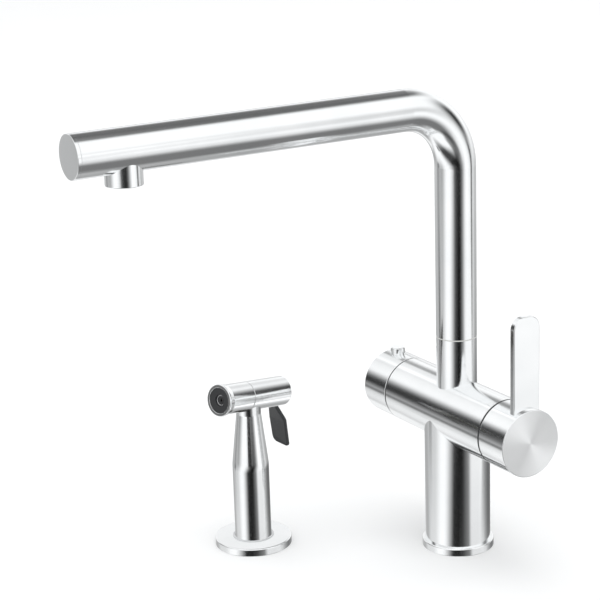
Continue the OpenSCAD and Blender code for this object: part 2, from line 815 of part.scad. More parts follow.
module spout_o_rings() {
    color("black") for (z = o_ring_zs) translate([0, 0, z]) rotate_extrude()
        translate([neck_bore_r - 0.04 - ring_section_r, 0]) circle(r = ring_section_r);
}

module aerator_socket() {
    color("silver") translate([0, outlet_y, outlet_low]) difference() {
        cylinder(r = outlet_r, h = outlet_high - outlet_low);
        translate([0, 0, -eps]) cylinder(r = outlet_bore_r, h = outlet_lip_z - outlet_low + eps);
        cylinder(r = outlet_lip_r, h = outlet_high);
    }
}

module aerator_washer() {
    color("black") translate([0, outlet_y, aerator_z + aerator_h + screen_t + 2 * fit])
        ring(outlet_bore_r - fit, outlet_lip_r, outlet_washer_t);
}

module aerator_screen() {
    color("gray") translate([0, outlet_y, aerator_z + aerator_h + fit])
        cylinder(r = outlet_bore_r - fit, h = screen_t);
}

module aerator_body() {
    pitch = cell_af + 0.5;
    color("dimgray") translate([0, outlet_y, aerator_z]) difference() {
        cylinder(r = outlet_bore_r - fit, h = aerator_h);
        for (i = [-2:2]) for (j = [-2:2]) if (abs(i + j) <= 2)
            translate([pitch * (i + j / 2), pitch * j * sin(60), -eps])
                rotate([0, 0, 30]) cylinder(r = cell_af / 2 / cos(30), h = aerator_h + 2 * eps, $fn = 6);
    }
}

// Side spray holder

module spray_holder() {
    color("silver") at_spray() difference() {
        union() {
            round_disc(flange_d / 2, flange_h, edge_r);
            translate([0, 0, -holder_len]) cylinder(r = holder_r, h = holder_len + eps);
        }
        translate([0, 0, -holder_len - eps])
            cylinder(r = insert_out_r + fit, h = holder_len + flange_h + 2 * eps);
        translate([0, 0, -eps]) ring(flange_d / 2 - 1, flange_d / 2 - 1 - seal_w, seal_t + eps);
    }
}

module holder_seal() {
    color("dimgray") at_spray() ring(flange_d / 2 - 1 - fit, flange_d / 2 - 1 - seal_w + fit, seal_t);
}

module holder_insert() {
    low = grip_foot - rest_gap - lip_t;
    color("lightgray") at_spray() {
        translate([0, 0, low]) ring(insert_out_r, lip_r, lip_t);
        translate([0, 0, low + lip_t - 0.01]) ring(insert_out_r, insert_in_r, flange_h - low - lip_t + 0.02);
        translate([0, 0, flange_h]) ring(insert_out_r + collar_w, insert_in_r, collar_h);
    }
}

module holder_washer() {
    color("black") at_spray() translate([0, 0, -deck_t - rubber_t])
        ring(holder_r + washer_band, holder_r + fit, rubber_t);
}

module holder_nut() {
    color("goldenrod") at_spray() translate([0, 0, -deck_t - rubber_t - nut_h])
        hex_nut(2 * holder_r + 12, holder_r + fit, nut_h);
}

// Hose coupling, which the handset turns on

module hose_coupling() {
    color("silver") at_spray() translate([0, 0, grip_foot]) difference() {
        union() {
            translate([0, 0, -coupling_low]) cylinder(d = coupling_d, h = coupling_low - rest_gap);
            translate([0, 0, -1]) cylinder(r = coupling_spigot_r, h = coupling_up + 1);
        }
        translate([0, 0, -coupling_low - eps]) cylinder(d = hose_thread_d, h = hose_thread_len + eps);
        translate([0, 0, -coupling_low]) cylinder(r = 3, h = coupling_low + coupling_up + eps);
        translate([0, 0, coupling_up / 2 - o_groove_h / 2])
            ring(coupling_spigot_r + 1, coupling_spigot_r - 1.55, o_groove_h);
    }
}

module coupling_o_ring() {
    color("black") at_spray() translate([0, 0, grip_foot + coupling_up / 2]) rotate_extrude()
        translate([coupling_spigot_r + run - 0.04 - ring_section_r, 0]) circle(r = ring_section_r);
}

// Side spray handset

module spray_handle() {
    top_r = grip_top_d / 2;
    top_z = head_z - head_r - 2;
    slope = atan2(grip_r - top_r, top_z - grip_turn_z);
    turn_low = grip_turn_z - grip_turn_r * tan(slope / 2);
    turn = arc([grip_r - grip_turn_r, turn_low], grip_turn_r, 0, slope, 6);
    wall = 2.4;
    color("silver") difference() {
        at_spray() rotate_extrude() polygon(concat(
            [[0, grip_foot], [grip_r, grip_foot]],
            turn,
            [[top_r, top_z], [top_r, head_z - 4], [0, head_z - 4]]
        ));
        at_spray() translate([0, 0, grip_foot - eps])
            cylinder(r = coupling_spigot_r + run, h = coupling_up + 1 + eps);
        at_spray() translate([0, 0, grip_foot + coupling_up + 2])
            cylinder(r = grip_r - wall, h = grip_turn_z - grip_foot - coupling_up - 6);
        at_spray() translate([0, 0, grip_foot]) cylinder(r = stem_tube_r + fit, h = head_z - grip_foot);
        at_head() along_head(-head_front_len) cylinder(r = head_r + fit, h = 2 * head_rear_len);
    }
}

module spray_head_rear() {
    from = -head_seam + head_gap / 2;
    len = head_rear_len - from;
    color("silver") difference() {
        at_head() along_head(from) difference() {
            round_disc(head_r, len, 0.8);
            translate([0, 0, -eps]) cylinder(r = head_in_r, h = len - head_end_t + eps);
        }
        stem_hole();
        at_head() translate([-trigger_neck_w / 2 - 0.3, trigger_slot_y[0], -head_r - eps])
            cube([trigger_neck_w + 0.6, trigger_slot_y[1] - trigger_slot_y[0], 6]);
    }
}

module spray_head_front() {
    len = head_front_len - head_seam - head_gap / 2;
    face_back = face_set + face_t + 0.1;
    color("silver") difference() {
        at_head() along_head(-head_front_len) rotate_extrude() polygon(concat(
            [[head_in_r, face_back], [face_r + fit, face_back], [face_r + fit, 0.3], [face_r + 0.35, 0]],
            arc([rim_r - 0.5, 0.5], 0.5, -90, 0, 5),
            [[rim_r, 1.4], [head_r, 5], [head_r, len], [head_in_r, len]]
        ));
        stem_hole();
    }
}

// The hole on the head's underside, where the valve's stem enters the grip
module stem_hole() {
    at_spray() translate([0, 0, head_z - 2 * head_r]) cylinder(r = stem_tube_r + fit, h = 2 * head_r);
}

module spray_valve_body() {
    ear_len = pivot_y + eye_r + 0.4 - core_rear;
    ear_x = trigger_neck_w / 2 + 0.3 + core_r / 2;
    color("ivory") difference() {
        union() {
            at_head() along_head(-core_front) cylinder(r = core_r, h = core_front + core_rear);
            at_head() intersection() {
                along_head(core_rear - 1) cylinder(r = core_r, h = ear_len + 1);
                for (s = [-1, 1]) translate([s * ear_x, pivot_y, pivot_z + 2.2 - core_r / 2])
                    cube([core_r, 4 * core_r, core_r], center = true);
            }
            at_spray() translate([0, 0, head_z - stem_tube_len]) cylinder(r = stem_tube_r, h = stem_tube_len);
        }
        at_spray() translate([0, 0, head_z - stem_tube_len - eps]) cylinder(r = 3.2, h = stem_tube_len + eps);
        at_head() along_head(-chamber_front) cylinder(r = chamber_r, h = chamber_front + chamber_rear);
        at_head() along_head(-core_front - eps) cylinder(r = seat_r, h = core_front + eps);
        at_head() along_head(0) cylinder(r = rod_r + run, h = core_rear + eps);
        at_head() on_pivot(0) cylinder(r = pivot_r + fit, h = 2 * core_r, center = true);
    }
}

// Places local Z along +X on the trigger's pivot, in the head's frame, up by rise
module on_pivot(rise) {
    translate([0, pivot_y, pivot_z + rise]) rotate([0, 90, 0]) children();
}

module nozzle_insert() {
    from = -head_front_len + face_set + face_t + 0.15;
    color("ivory") at_head() along_head(from) ring(core_r, 3, -core_front - fit - from);
}

module spray_face() {
    color("#38393a") at_head() along_head(-head_front_len + face_set) difference() {
        cylinder(r = face_r, h = face_t);
        translate([0, 0, -eps]) cylinder(r = jet_r + fit, h = face_t + 2 * eps);
    }
}

module jet_nozzle() {
    color("silver") at_head() along_head(-head_front_len + face_set + 1.2) ring(jet_r, 1.1, face_t - 1.2);
}

module trigger_pin() {
    half = sqrt(core_r * core_r - (pivot_z - pivot_r) * (pivot_z - pivot_r)) - 0.1;
    color("silver") at_head() on_pivot(0) cylinder(r = pivot_r, h = 2 * half, center = true);
}

// The trigger: two fork arms beside the valve rod, a neck, and a bowed paddle
module spray_trigger() {
    inner = rod_r + 0.4;
    outer = trigger_neck_w / 2;
    color("#38393a") at_head() difference() {
        union() {
            for (s = [-1, 1]) translate([s * (inner + outer) / 2, 0, 0]) hull() {
                on_pivot(-pivot_z) cylinder(r = nose_r, h = outer - inner, center = true, $fn = 32);
                on_pivot(0) cylinder(r = eye_r, h = outer - inner, center = true, $fn = 32);
            }
            translate([-outer, 0, 0]) rotate([90, 0, 90]) linear_extrude(2 * outer)
                polygon(trigger_neck_outline());
            intersection() {
                translate([-trigger_w, 0, 0]) rotate([90, 0, 90]) linear_extrude(2 * trigger_w)
                    polygon(trigger_side_outline());
                translate([0, 2 * pivot_y, 0]) rotate([90, 0, 0]) linear_extrude(2 * pivot_y)
                    polygon(trigger_front_outline());
            }
        }
        on_pivot(0) cylinder(r = pivot_r + run, h = 2 * core_r, center = true);
    }
}

// Side view of the trigger's neck, from its pivot to the paddle
function trigger_neck_outline() =
    let (across = trigger_t / 2 * [cos(paddle_top_a), sin(paddle_top_a)])
    [[pivot_y - 1.6, pivot_z + 1.2], [pivot_y + 2, pivot_z + 1.2],
     paddle_top + across, paddle_top - across, [pivot_y - 1.6, pivot_z - 1.8]];

// Side view of the bowed paddle
function trigger_side_outline() =
    let (a0 = paddle_top_a, a1 = paddle_low_a - 3)
    concat(arc(paddle_c, trigger_bow - trigger_t / 2, a0, a1, 12),
           arc(paddle_c, trigger_bow + trigger_t / 2, a1, a0, 12));

// Front view of the paddle: a narrow neck, shoulders, and a slanted foot with unequal corners
function trigger_front_outline() =
    let (neck = trigger_neck_w / 2, half = trigger_w / 2, big = 5.4, small = 1.6, slant = 1.9)
    let (foot = paddle_low, shoulder = -head_r - 9.6)
    concat(
        [[-neck, 0], [-neck, -head_r - 0.4], [-half, shoulder]],
        arc([big - half, foot + slant + big], big, 180, 265, 8),
        arc([half - small, foot + small], small, 275, 360, 6),
        [[half, shoulder], [neck, -head_r - 0.4], [neck, 0]]
    );

module valve_rod() {
    from = -chamber_front + valve_washer_t + 2 * fit;
    color("silver") at_head() {
        along_head(from) cylinder(r = valve_disc_r, h = 1.8);
        along_head(from) cylinder(r = rod_r, h = collar_y + collar_t + 4 - from);
        along_head(collar_y) cylinder(r = collar_r, h = collar_t);
    }
}

module valve_washer() {
    color("black") at_head() along_head(-chamber_front + fit) cylinder(r = valve_disc_r, h = valve_washer_t);
}

module return_spring() {
    foot = collar_y + collar_t + 0.05;
    top = head_rear_len - head_end_t - rod_travel - 0.35;
    color("silver") at_head() along_head(foot) coil(2.6, 0.35, top - foot, 5, 8, 6);
}

main_body();
base_ring();
base_seal();
mounting_shank();
shank_rubber_washer();
shank_steel_washer();
shank_nut();
spout_slide_ring();
spout_set_screw();
diverter_body();
diverter_cap();
diverter_piston();
diverter_spring();
cartridge_seals();
cartridge_base();
cartridge_housing();
fixed_ceramic_disc();
cartridge_nut();
hub_guide_ring();
moving_ceramic_disc();
cartridge_stem();
lever_hub();
lever_blade();
hub_screw();
valve_seat_seal();
valve_headwork();
valve_fixed_disc();
valve_moving_disc();
valve_spindle();
filter_knob();
knob_pin();
knob_screw();
spout_tube();
spout_end_cap();
swivel_spigot();
spout_o_rings();
aerator_socket();
aerator_washer();
aerator_screen();
aerator_body();
spray_holder();
holder_seal();
holder_insert();
holder_washer();
holder_nut();
hose_coupling();
coupling_o_ring();
spray_handle();
spray_head_rear();
spray_head_front();
spray_valve_body();
nozzle_insert();
spray_face();
jet_nozzle();
trigger_pin();
spray_trigger();
valve_rod();
valve_washer();
return_spring();
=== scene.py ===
# %% [markdown]
# # A three-way kitchen mixer with a side spray
# This lesson dresses a imported CAD model in Blender. The real object is a polished mixer: an upright
# body, a level cross body with a lever on its right and a filter knob on its left, an L-shaped swivel
# spout, and a hand spray that stands in a holder of its own. The CAD model is the fixed frame. Every
# surface that we add is worked out with numpy, and most stand for a CAD piece in its place and size.

import json
import math

import bmesh
import bpy
import numpy as np
from mathutils import Matrix


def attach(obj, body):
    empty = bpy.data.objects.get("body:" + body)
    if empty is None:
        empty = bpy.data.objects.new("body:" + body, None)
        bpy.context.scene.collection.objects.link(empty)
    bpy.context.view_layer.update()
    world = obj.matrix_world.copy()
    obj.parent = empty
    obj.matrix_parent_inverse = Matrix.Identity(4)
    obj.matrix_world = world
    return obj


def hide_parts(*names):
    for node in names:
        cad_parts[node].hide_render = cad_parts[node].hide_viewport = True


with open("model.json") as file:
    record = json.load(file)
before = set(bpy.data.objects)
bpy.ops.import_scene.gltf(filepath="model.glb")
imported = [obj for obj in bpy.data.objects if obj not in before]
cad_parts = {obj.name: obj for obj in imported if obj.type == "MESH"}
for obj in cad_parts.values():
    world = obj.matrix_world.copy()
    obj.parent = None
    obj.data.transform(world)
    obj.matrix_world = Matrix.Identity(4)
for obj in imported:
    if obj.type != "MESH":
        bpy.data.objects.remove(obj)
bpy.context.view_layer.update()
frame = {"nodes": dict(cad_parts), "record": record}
MM = 0.001

# %% [markdown]
# ## The camera
# The photograph looks down a little on the mixer from its lever side. These values were fitted to the
# outlines of the base ring, the body, the cross body and the spout, with the focal length in pixels of
# a 600-pixel picture. A Blender camera looks along its own -Z axis, so its Z axis points to the viewer.

# %% Camera at the photograph's viewing angle
PICTURE = 600
FOCAL_PIXELS = 1813.03
SENSOR_MM = 36
VIEW_AZIMUTH = math.radians(59.624)
VIEW_ELEVATION = math.radians(15.996)
VIEW_ROLL = math.radians(-1.851)
VIEW_DISTANCE = 1286.65 * MM
ORIGIN_PIXEL = (458.05, 542.19)


def camera_axes(azimuth, elevation, roll):
    """The camera's right, up and back axis, one in each row.

    Back is the sine and minus the cosine of the azimuth, both times the cosine of the elevation, and
    then the sine of the elevation. Roll turns right and up about it."""
    back = np.array([math.sin(azimuth) * math.cos(elevation), -math.cos(azimuth) * math.cos(elevation),
                     math.sin(elevation)])
    right = np.array([math.cos(azimuth), math.sin(azimuth), 0.0])
    up = np.cross(back, right)
    return np.array([math.cos(roll) * right + math.sin(roll) * up,
                     math.cos(roll) * up - math.sin(roll) * right, back])


view_axes = camera_axes(VIEW_AZIMUTH, VIEW_ELEVATION, VIEW_ROLL)
origin_in_view = VIEW_DISTANCE * np.array([(ORIGIN_PIXEL[0] - PICTURE / 2) / FOCAL_PIXELS,
                                           (PICTURE / 2 - ORIGIN_PIXEL[1]) / FOCAL_PIXELS, -1.0])
camera_place = np.eye(4)
camera_place[:3, :3] = view_axes.T
camera_place[:3, 3] = -view_axes.T @ origin_in_view
camera_data = bpy.data.cameras.new("camera")
camera_data.sensor_width = SENSOR_MM
camera_data.lens = FOCAL_PIXELS / PICTURE * SENSOR_MM
camera = bpy.data.objects.new("camera", camera_data)
camera.matrix_world = Matrix(camera_place.tolist())
bpy.context.scene.collection.objects.link(camera)
bpy.context.scene.camera = camera
print("camera at", np.round(camera_place[:3, 3], 3), "lens", round(camera_data.lens, 1), "mm")

# %% [markdown]
# ## Node helpers
# Procedural materials are trees of small nodes. A helper for one maths node, one colour ramp and one
# noise keeps each material short, so that the finish itself stays easy to read.


# %% Small helpers for node trees
class Tree:
    """A node tree with short calls for the nodes that this lesson uses."""

    def __init__(self, owner):
        owner.use_nodes = True
        self.tree = owner.node_tree
        self.tree.nodes.clear()

    def add(self, kind, **settings):
        """A new node with its settings."""
        node = self.tree.nodes.new(kind)
        for name, value in settings.items():
            setattr(node, name, value)
        return node

    def feed(self, socket, value):
        """Links an output socket to the input, or sets the input to a plain value."""
        if isinstance(value, bpy.types.NodeSocket):
            self.tree.links.new(value, socket)
        else:
            socket.default_value = value

    def maths(self, operation, *values):
        """The operation on its values, which are numbers or output sockets."""
        node = self.add("ShaderNodeMath", operation=operation)
        for socket, value in zip(node.inputs, values):
            self.feed(socket, value)
        return node.outputs[0]

    def span(self, value, low, high, to_low, to_high):
        """Carries low..high to to_low..to_high, along three t squared less two t cubed."""
        node = self.add("ShaderNodeMapRange", interpolation_type="SMOOTHSTEP")
        for socket, entry in zip(node.inputs, (value, low, high, to_low, to_high)):
            self.feed(socket, entry)
        return node.outputs[0]

    def noise(self, place, scale, detail=3.0):
        """A cloudy value between 0 and 1, with scale patches to the metre."""
        node = self.add("ShaderNodeTexNoise")
        self.feed(node.inputs["Vector"], place)
        node.inputs["Scale"].default_value = scale
        node.inputs["Detail"].default_value = detail
        return node.outputs["Fac"]

    def ramp(self, value, *stops):
        """A colour ramp between two stops of (position, colour)."""
        node = self.add("ShaderNodeValToRGB")
        for element, (position, colour) in zip(node.color_ramp.elements, stops):
            element.position = position
            element.color = (*colour, 1.0)
        self.feed(node.inputs[0], value)
        return node.outputs[0]


print("node helpers are ready")

# %% [markdown]
# ## The light tent
# Polished metal has no look of its own: it shows the studio around it. Product photographers stand such
# a mixer in a white tent and let a few dark cards in, and their reflections draw the dark lines along
# each tube. The world shader is that tent. Each card is a soft-edged patch round one direction, and the
# last five are bright panels instead. The camera looks down on the floor, so that only mirrors show the
# patches.

# %% World shader: a white tent with dark cards and bright panels
TENT_WHITE = 1.1
TENT_TINT = (0.985, 0.995, 1.0, 1.0)
# Each card has its azimuth, elevation, half width, half height, lean, edge and darkness. The first four
# and the edge are degrees, and lean is how far it shifts across for each degree up. Darkness 1 is
# black, and a darkness below 0 makes a bright panel.
CARDS = {
    "front line": (-53.0, -32.0, 30.5, 36.0, -1.8, 40.0, 0.95),
    "front core": (-20.5, -16.5, 8.5, 8.0, -1.25, 10.0, 0.9),
    "body core": (-42.0, -23.0, 12.0, 3.5, -1.25, 7.0, 0.8),
    "back wall": (134.0, -42.0, 56.0, 36.0, -0.4, 37.5, 0.62),
    "far left": (-115.5, -1.5, 31.0, 22.0, -1.25, 32.5, 0.6),
    "far left core": (-138.5, 11.0, 8.5, 21.0, -0.4, 15.5, 0.97),
    "far right": (119.5, 57.5, 39.0, 22.5, 1.45, 40.0, 0.87),
    "rear line": (72.5, 12.5, 14.5, 17.5, -0.5, 28.5, 0.99),
    "low right": (33.5, -49.5, 38.0, 22.0, 0.5, 28.0, 0.82),
    "right shade": (89.0, -20.5, 20.5, 11.0, 0.7, 20.5, 0.35),
    "right edge": (102.0, -21.0, 39.5, 2.8, -4.0, 3.0, 0.55),
    "grip core": (-33.0, -7.5, 11.5, 4.0, 0.0, 4.0, 0.97),
    "left foot": (-143.5, -17.5, 8.0, 3.0, -0.52, 5.0, 0.68),
    "rim shade": (-116.0, -6.0, 6.0, 4.0, 0.0, 6.0, 0.7),
    "bend line": (-8.0, -36.0, 16.0, 18.0, 0.0, 12.0, 0.7),
    "top shade": (146.0, 38.0, 12.0, 10.0, 0.85, 8.0, 0.55),
    "top edge": (151.0, 8.5, 9.0, 4.5, 0.3, 5.0, 0.4),
    "head line": (63.5, -10.5, 5.5, 7.0, 0.0, 7.0, 0.85),
    "back panel": (173.0, 39.0, 13.0, 6.0, 0.0, 10.0, -0.7),
    "left panel": (163.0, -35.0, 20.0, 9.0, 0.0, 14.0, -1.3),
    "right panel": (84.0, -45.0, 8.0, 6.0, 2.1, 8.0, -0.9),
    "front panel": (17.0, 0.0, 12.0, 9.0, 0.0, 12.0, -0.9),
    "low panel": (56.0, -30.0, 8.0, 4.0, 0.0, 6.0, -0.45),
}


def inside(tree, offset, half, edge):
    """1 where the offset's size is below half less half an edge, fading to 0 over one edge."""
    return tree.span(tree.maths("ABSOLUTE", offset), half - edge / 2, half + edge / 2, 1.0, 0.0)


def card_darkness(tree, azimuth, elevation, card):
    """A card's darkness where a direction lies inside it both across and along, and 0 outside.

    Across is the azimuth's offset, wrapped round the circle, plus the lean times the elevation's."""
    at_azimuth, at_elevation, half_width, half_height, lean, edge, darkness = card
    turned_by = tree.maths("WRAP", tree.maths("SUBTRACT", azimuth, at_azimuth), 180.0, -180.0)
    along = tree.maths("SUBTRACT", elevation, at_elevation)
    across = tree.maths("ADD", turned_by, tree.maths("MULTIPLY", along, lean))
    mask = tree.maths("MULTIPLY", inside(tree, across, half_width, edge),
                      inside(tree, along, half_height, edge))
    return tree.maths("MULTIPLY", mask, darkness)


world = bpy.data.worlds.new("light_tent")
bpy.context.scene.world = world
tent = Tree(world)
direction = tent.add("ShaderNodeSeparateXYZ")
tent.feed(direction.inputs[0], tent.add("ShaderNodeTexCoord").outputs["Generated"])
tent_azimuth = tent.maths("DEGREES", tent.maths("ARCTAN2", direction.outputs[1], direction.outputs[0]))
tent_elevation = tent.maths("DEGREES", tent.maths("ARCSINE", direction.outputs[2]))
brightness = TENT_WHITE
for card in CARDS.values():
    kept = tent.maths("SUBTRACT", 1.0, card_darkness(tent, tent_azimuth, tent_elevation, card))
    brightness = tent.maths("MULTIPLY", brightness, kept)
shine = tent.add("ShaderNodeBackground")
shine.inputs["Color"].default_value = TENT_TINT
tent.feed(shine.inputs["Strength"], brightness)
tent.feed(tent.add("ShaderNodeOutputWorld").inputs[0], shine.outputs[0])
bpy.context.scene.view_settings.view_transform = "Standard"
print("light tent with", len(CARDS), "cards and panels")

# %% [markdown]
# ## The floor
# A plain pale floor stands at the worktop's height, and one large soft lamp lights it evenly. Mirrors
# would double both into every tube, so they are left out of reflections, and the tent stands for them
# there.

# %% Floor and one large soft lamp
FLOOR_HALF = 12.0
FLOOR_CORNERS = [(-FLOOR_HALF, -FLOOR_HALF, 0.0), (FLOOR_HALF, -FLOOR_HALF, 0.0),
                 (FLOOR_HALF, FLOOR_HALF, 0.0), (-FLOOR_HALF, FLOOR_HALF, 0.0)]
FLOOR_DARK, FLOOR_LIGHT = (0.95, 0.95, 0.95), (0.965, 0.965, 0.965)
FLOOR_PATCHES = 6.0
LAMP_PLACE = (0.0, 0.6, 4.0)
LAMP_SIDE = 4.0
LAMP_WATTS = 55.0

floor_mesh = bpy.data.meshes.new("floor")
floor_mesh.from_pydata(FLOOR_CORNERS, [], [(0, 1, 2, 3)])
floor = bpy.data.objects.new("floor", floor_mesh)
bpy.context.scene.collection.objects.link(floor)
floor.visible_glossy = False
floor_paint = bpy.data.materials.new("pale_floor")
paint = Tree(floor_paint)
floor_shader = paint.add("ShaderNodeBsdfPrincipled")
floor_place = paint.add("ShaderNodeTexCoord").outputs["Object"]
floor_tone = paint.ramp(paint.noise(floor_place, FLOOR_PATCHES), (0.0, FLOOR_DARK), (1.0, FLOOR_LIGHT))
paint.feed(floor_shader.inputs["Base Color"], floor_tone)
floor_shader.inputs["Roughness"].default_value = 0.9
floor_shader.inputs["Specular IOR Level"].default_value = 0.0
paint.feed(paint.add("ShaderNodeOutputMaterial").inputs[0], floor_shader.outputs[0])
floor_mesh.materials.append(floor_paint)

lamp_data = bpy.data.lights.new("soft_box", "AREA")
lamp_data.shape = "RECTANGLE"
lamp_data.size = LAMP_SIDE
lamp_data.size_y = LAMP_SIDE
lamp_data.energy = LAMP_WATTS
lamp = bpy.data.objects.new("soft_box", lamp_data)
lamp.location = LAMP_PLACE
lamp.visible_glossy = False
bpy.context.scene.collection.objects.link(lamp)
print("floor and soft box placed")

# %% [markdown]
# ## Metal finishes
# Chrome plate on brass is a mirror with faint life in it: the polish varies a little from place to
# place, and very fine wiping marks run through it. The colour follows a cloudy noise, while roughness
# and a shallow bump share a fine one. A facing tool leaves rings round its axis, and they draw the shine
# out into a fan of light, which is what the anisotropic setting does.


# %% Chrome, and the other metals
NOISE_LOW, NOISE_HIGH = 0.3, 0.7  # most of a noise lies between these
GRAIN_HEIGHT = 0.0001  # metres
METAL_CLOUDS, MOULDED_CLOUDS = 35.0, 60.0  # patches to the metre
RING_STRETCH, QUARTER_TURN = 0.92, 0.25  # how far the shine is drawn out, and across the rings


def grained(name, dark, light, roughness, clouds, grain, bump):
    """A material, its tree and its shader.

    While a cloudy noise goes from low to high, the colour goes from dark to light. A fine noise carries
    roughness over its pair of values in the same way, and the bump times its slope tilts the surface."""
    material = bpy.data.materials.new(name)
    tree = Tree(material)
    shader = tree.add("ShaderNodeBsdfPrincipled")
    tree.feed(tree.add("ShaderNodeOutputMaterial").inputs[0], shader.outputs[0])
    place = tree.add("ShaderNodeTexCoord").outputs["Object"]
    cloud = tree.noise(place, clouds, 4.0)
    fine = tree.noise(place, grain, 2.0)
    tree.feed(shader.inputs["Base Color"], tree.ramp(cloud, (NOISE_LOW, dark), (NOISE_HIGH, light)))
    tree.feed(shader.inputs["Roughness"], tree.span(fine, NOISE_LOW, NOISE_HIGH, *roughness))
    relief = tree.add("ShaderNodeBump")
    relief.inputs["Strength"].default_value = bump
    relief.inputs["Distance"].default_value = GRAIN_HEIGHT
    tree.feed(relief.inputs["Height"], fine)
    tree.feed(shader.inputs["Normal"], relief.outputs[0])
    return material, tree, shader


def metal(name, dark, light, roughness, grain=900.0, bump=0.02, rings_about=None):
    """A metal, with the rings of a facing tool about an axis if one is named."""
    material, tree, shader = grained(name, dark, light, roughness, METAL_CLOUDS, grain, bump)
    shader.inputs["Metallic"].default_value = 1.0
    if rings_about:
        around = tree.add("ShaderNodeTangent", direction_type="RADIAL", axis=rings_about)
        tree.feed(shader.inputs["Tangent"], around.outputs[0])
        shader.inputs["Anisotropic"].default_value = RING_STRETCH
        shader.inputs["Anisotropic Rotation"].default_value = QUARTER_TURN
    return material


FINISHES = {
    "chrome": metal("chrome_plate", (0.90, 0.91, 0.915), (0.955, 0.96, 0.965), (0.11, 0.15)),
    "steel": metal("stainless_steel", (0.56, 0.56, 0.57), (0.68, 0.68, 0.69), (0.22, 0.34),
                   grain=1400.0, bump=0.08),
    "brass": metal("turned_brass", (0.66, 0.50, 0.24), (0.80, 0.64, 0.34), (0.18, 0.32),
                   grain=1200.0, bump=0.08),
}
spun_chrome = metal("spun_chrome_x", (0.93, 0.935, 0.94), (0.98, 0.985, 0.985), (0.32, 0.38),
                    grain=2400.0, bump=0.04, rings_about="X")
print("metals:", *FINISHES, "and", spun_chrome.name)


# %% [markdown]
# ## Rubber, plastic and ceramic
# Moulded plastic is nearly even, with a fine spark-eroded texture that breaks up its shine. Rubber is
# the same idea with less gloss, and lapped ceramic is smooth with tiny pores. The same two noises do for
# all of them. Each CAD node gets the material of its slot, and its mesh stays as it is.


# %% Materials that are not metal
def moulded(name, dark, light, roughness, grain=1600.0, bump=0.15):
    """A non-metal with a moulded grain, and a little less shine at its face than glass has."""
    material, _, shader = grained(name, dark, light, roughness, MOULDED_CLOUDS, grain, bump)
    shader.inputs["Specular IOR Level"].default_value = 0.45
    return material


FINISHES.update({
    "rubber": moulded("seal_rubber", (0.018, 0.018, 0.019), (0.03, 0.03, 0.032), (0.6, 0.8)),
    "black_plastic": moulded("black_plastic", (0.026, 0.027, 0.029), (0.036, 0.037, 0.039), (0.36, 0.5)),
    "grey_plastic": moulded("grey_plastic", (0.16, 0.165, 0.17), (0.21, 0.215, 0.22), (0.4, 0.55)),
    "white_plastic": moulded("white_plastic", (0.74, 0.74, 0.71), (0.80, 0.80, 0.77), (0.3, 0.45)),
    "collar_plastic": moulded("collar_plastic", (0.66, 0.67, 0.68), (0.72, 0.73, 0.74), (0.15, 0.25)),
    "ceramic": moulded("lapped_ceramic", (0.80, 0.79, 0.75), (0.86, 0.85, 0.82), (0.08, 0.16),
                       grain=2600.0, bump=0.05),
})
for part in frame["record"]["subparts"]:
    node = frame["nodes"][part["node"]]
    node.data.materials.clear()
    node.data.materials.append(FINISHES[part["material_slot"]])

# %% [markdown]
# ## How the surfaces are made
# A lathe makes most of this mixer, so most of its surfaces are a profile turned about an axis. A profile
# is a list of corners, and a corner may carry a small radius: a polished edge is never quite sharp, and
# the light line on its radius is what draws the edge in a picture of something made of mirrors.


# %% Helpers: rounded profiles and turned surfaces
ARC_STEPS = 6  # quads along each rounded edge
TURN_STEPS = 160  # quads once round a turned surface
SMALL_TURN_STEPS = 64
GUARD = 0.05  # mm from an arc's end to the point that keeps the next face flat
# Rows e1, e2 and e3 of the axes that a profile is turned in: e3 is the lathe's axis
UPRIGHT = np.eye(3)
TO_RIGHT = np.array([[0.0, 1.0, 0.0], [0.0, 0.0, 1.0], [1.0, 0.0, 0.0]])
TO_LEFT = TO_RIGHT * [[1.0], [1.0], [-1.0]]
TO_FRONT = np.array([[1.0, 0.0, 0.0], [0.0, 0.0, 1.0], [0.0, -1.0, 0.0]])


def unit(vector):
    """The vector over its length."""
    return vector / np.linalg.norm(vector)


def rounded(corners):
    """Points in mm along corners (a, b) or (a, b, radius).

    A corner P with radius f, and directions u and v to its neighbours, gets an arc from P + t u to
    P + t v. Here t = f / tan(h), the centre is P + f / sin(h) along the bisector, and h is half the
    angle between u and v. At share s of the arc's turn w, a point is the centre plus sin((1 - s) w)
    times one end's offset and sin(s w) times the other's, over sin(w). A point just outside each end of
    the arc keeps the faces beside it flat."""
    points = []
    for i, corner in enumerate(corners):
        here = np.array(corner[:2], float)
        if len(corner) == 2:
            points.append(here)
            continue
        u = unit(np.array(corners[i - 1][:2]) - here)
        v = unit(np.array(corners[(i + 1) % len(corners)][:2]) - here)
        half = 0.5 * math.acos(u @ v)
        reach = corner[2] / math.tan(half)
        centre = here + unit(u + v) * corner[2] / math.sin(half)
        turn = math.pi - 2 * half
        share = np.linspace(0, 1, ARC_STEPS + 1)[:, None]
        start, end = here + reach * u - centre, here + reach * v - centre
        arc = centre + (np.sin((1 - share) * turn) * start + np.sin(share * turn) * end) / math.sin(turn)
        points += [here + (reach + GUARD) * u, *arc, here + (reach + GUARD) * v]
    return np.array(points)


def grid_faces(rows, columns, close_rows=True, close_columns=True):
    """Quads between the points of a grid, whose last row or column may join the first."""
    index = np.arange(rows * columns).reshape(rows, columns)
    if close_rows:
        index = np.vstack((index, index[:1]))
    if close_columns:
        index = np.hstack((index, index[:, :1]))
    return np.stack((index[:-1, :-1], index[1:, :-1], index[1:, 1:], index[:-1, 1:]), -1).reshape(-1, 4)


